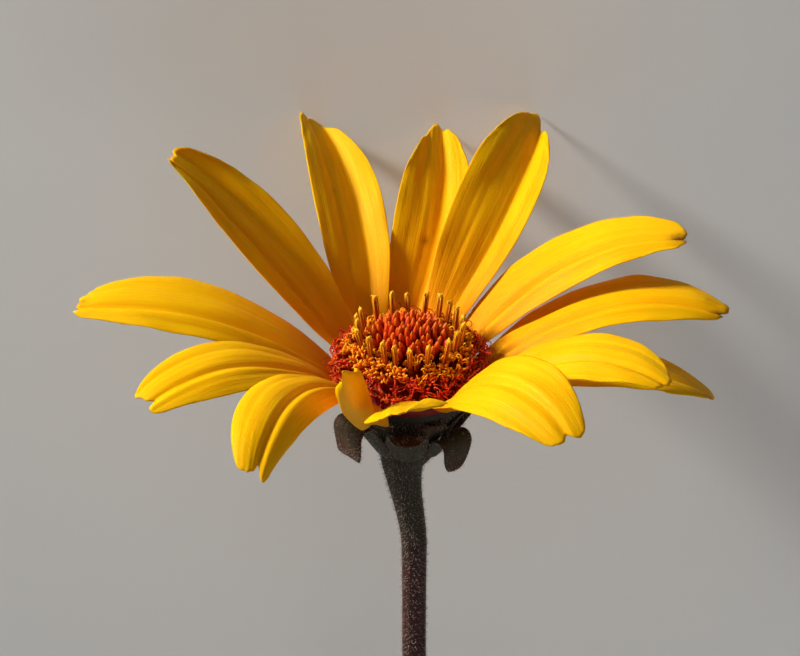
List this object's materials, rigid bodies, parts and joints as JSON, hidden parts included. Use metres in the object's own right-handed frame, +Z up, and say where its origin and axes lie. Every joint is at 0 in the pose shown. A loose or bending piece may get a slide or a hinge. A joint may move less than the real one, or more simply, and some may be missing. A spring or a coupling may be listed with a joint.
{
  "type": "daisy flower",
  "caption": "Cut daisy with broad notched yellow petals round a domed orange disc, on a slender dark stem with a cup of bracts, laid on its side.",
  "frame": {"origin": "on the surface that the flower lies on, under the middle of its bounding box", "axes": "+Z up from the surface, +Y along the flower towards the cut end of its stem, so the face looks towards -Y and a little up"},
  "size_m": [0.0712, 0.1222, 0.0547],
  "materials": {
    "stem": "matte plant skin, dark red-purple, with short pale hairs",
    "petal": "soft satin petal, yellow, faintly veined",
    "bract": "matte leaf, dark olive to purple-brown",
    "bud": "satin closed buds, orange-red",
    "floret": "satin open florets and pollen columns, golden",
    "spent": "satin spent florets with curled styles, dark red"
  },
  "bodies": {
    "root": {"stem": "stem", "petal_01": "petal", "petal_02": "petal", "petal_03": "petal", "petal_04": "petal", "petal_05": "petal", "petal_06": "petal", "petal_07": "petal", "petal_08": "petal", "petal_09": "petal", "petal_10": "petal", "petal_11": "petal", "petal_12": "petal", "petal_13": "petal", "petal_14": "petal", "inner_bract_1": "bract", "inner_bract_2": "bract", "inner_bract_3": "bract", "inner_bract_4": "bract", "inner_bract_5": "bract", "inner_bract_6": "bract", "inner_bract_7": "bract", "outer_bract_1": "bract", "outer_bract_2": "bract", "outer_bract_3": "bract", "outer_bract_4": "bract", "outer_bract_5": "bract", "outer_bract_6": "bract", "outer_bract_7": "bract", "disc_buds": "bud", "open_florets": "floret", "spent_florets": "spent"}
  },
  "joints": []
}
